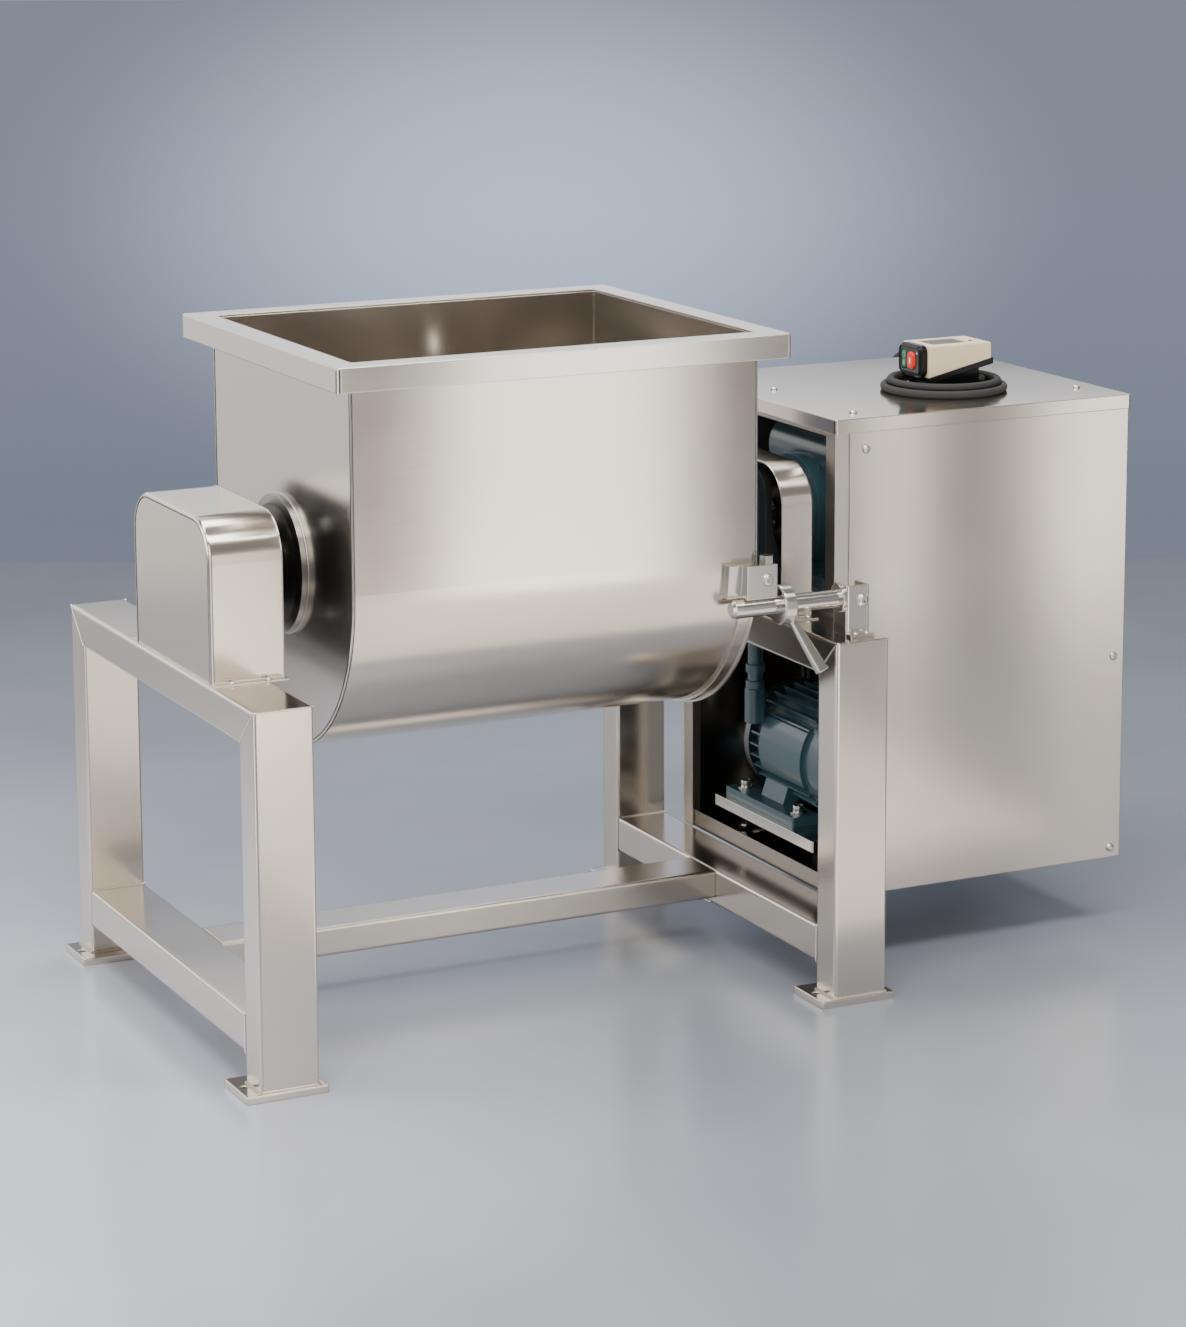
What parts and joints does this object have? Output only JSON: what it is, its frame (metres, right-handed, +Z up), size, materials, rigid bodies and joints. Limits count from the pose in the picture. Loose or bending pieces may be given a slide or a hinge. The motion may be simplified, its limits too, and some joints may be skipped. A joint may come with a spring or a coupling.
{
  "type": "tilting ribbon blender",
  "caption": "Trough mixer on two tube portals: a geared motor in a cabinet turns a ribbon agitator, and the trough tips backwards to empty once its latch bar is withdrawn.",
  "frame": {"origin": "on the floor, in the middle of the footprint of the feet and the cabinet", "axes": "+X along the trough towards the drive cabinet, +Y away from the operator, +Z up"},
  "size_m": [1.4, 0.7136, 0.915],
  "materials": {
    "portal_steel": "satin stainless tube",
    "trough_steel": "brushed stainless sheet",
    "cover_steel": "brushed stainless sheet",
    "cabinet_steel": "brushed stainless sheet",
    "machined_steel": "turned and ground",
    "ribbon_steel": "satin stainless",
    "zinc_steel": "zinc plated fasteners",
    "bush_bronze": "bearing bronze",
    "seal_plastic": "white bearing plastic",
    "bracket_paint": "dark grey paint",
    "black_casting": "black enamel",
    "teal_paint": "teal machine enamel",
    "ring_alloy": "cast end ring",
    "pulley_iron": "turned cast iron",
    "belt_rubber": "moulded belt",
    "fan_plastic": "moulded",
    "conduit_metal": "plated conduit and collars",
    "beige_plastic": "moulded housing",
    "black_plastic": "moulded",
    "green_plastic": "moulded button",
    "red_plastic": "moulded button",
    "cord_rubber": "rubber sheath"
  },
  "bodies": {
    "frame": {"portal_legs": "portal_steel", "portal_top_bars": "portal_steel", "portal_crossbars": "portal_steel", "stretcher": "portal_steel", "foot_plates": "portal_steel", "left_cover": "cover_steel", "right_cover": "cover_steel", "cabinet_posts": "cabinet_steel", "cabinet_top_rails": "cabinet_steel", "cabinet_bottom_rails": "cabinet_steel", "shelf_rails": "cabinet_steel", "front_panel": "cabinet_steel", "right_panel": "cabinet_steel", "rear_panel": "cabinet_steel", "cabinet_lid": "cabinet_steel", "cabinet_floor": "cabinet_steel", "gear_shelf": "cabinet_steel", "latch_bracket": "machined_steel", "motor_plate": "machined_steel", "bearing_bolts": "zinc_steel", "motor_studs": "zinc_steel", "trunnion_bushes": "bush_bronze", "bearing_brackets": "bracket_paint", "left_bearing_housing": "black_casting", "right_bearing_housing": "teal_paint", "motor_body": "teal_paint", "gear_housing": "teal_paint", "gear_covers": "teal_paint", "motor_cowl": "teal_paint", "motor_end_ring": "ring_alloy", "drive_belts": "belt_rubber", "terminal_conduit": "conduit_metal", "pendant_housing": "beige_plastic", "pendant_base": "black_plastic", "button_frame": "black_plastic", "contact_block": "black_plastic", "cord_gland": "black_plastic", "cord_coil": "cord_rubber", "cord_lead": "cord_rubber"},
    "trough": {"trough_wrapper": "trough_steel", "trough_left_wall": "trough_steel", "trough_right_wall": "trough_steel", "trough_rim": "trough_steel", "trunnions": "trough_steel", "shaft_bushes": "seal_plastic", "stop_block": "machined_steel", "stop_bolt": "zinc_steel", "quadrant_rail": "trough_steel"},
    "agitator": {"agitator_shaft": "machined_steel", "outer_ribbon": "ribbon_steel", "inner_ribbon": "ribbon_steel"},
    "gear_input": {"gear_input_shaft": "machined_steel", "gear_pulley": "pulley_iron"},
    "motor_rotor": {"rotor_shaft": "machined_steel", "motor_fan": "fan_plastic", "motor_pulley": "pulley_iron"},
    "latch": {"latch_bar": "machined_steel", "latch_lever": "machined_steel"},
    "start_button": {"start_button": "green_plastic"},
    "stop_button": {"stop_button": "red_plastic"}
  },
  "joints": [
    {"name": "trough_tilt", "type": "hinge", "parent": "frame", "child": "trough", "pos_m": [0, -0.05, 0.618], "axis": [1, 0, 0], "range_deg": [-105, 0]},
    {"name": "agitator_spin", "type": "hinge", "parent": "frame", "child": "agitator", "pos_m": [0, -0.05, 0.618], "axis": [1, 0, 0], "continuous": true},
    {"name": "gear_input_spin", "type": "hinge", "parent": "frame", "child": "gear_input", "pos_m": [0.3, 0, 0.698], "axis": [0, 1, 0], "continuous": true},
    {"name": "motor_spin", "type": "hinge", "parent": "frame", "child": "motor_rotor", "pos_m": [0.328, 0, 0.256], "axis": [0, 1, 0], "continuous": true},
    {"name": "latch_turn", "type": "hinge", "parent": "frame", "child": "latch", "pos_m": [0.1, -0.302, 0.55], "axis": [1, 0, 0], "range_deg": [-120, 0]},
    {"name": "start_press", "type": "slide", "parent": "frame", "child": "start_button", "axis": [1, 0, 0], "range_m": [0, 0.002], "stiffness_N_per_m": 500, "springref_m": -0.002},
    {"name": "stop_press", "type": "slide", "parent": "frame", "child": "stop_button", "axis": [1, 0, 0], "range_m": [0, 0.002], "stiffness_N_per_m": 500, "springref_m": -0.002}
  ],
  "couplings": [
    {"joint": "gear_input_spin", "follows": "agitator_spin", "ratio": 20},
    {"joint": "motor_spin", "follows": "agitator_spin", "ratio": 31.053}
  ]
}
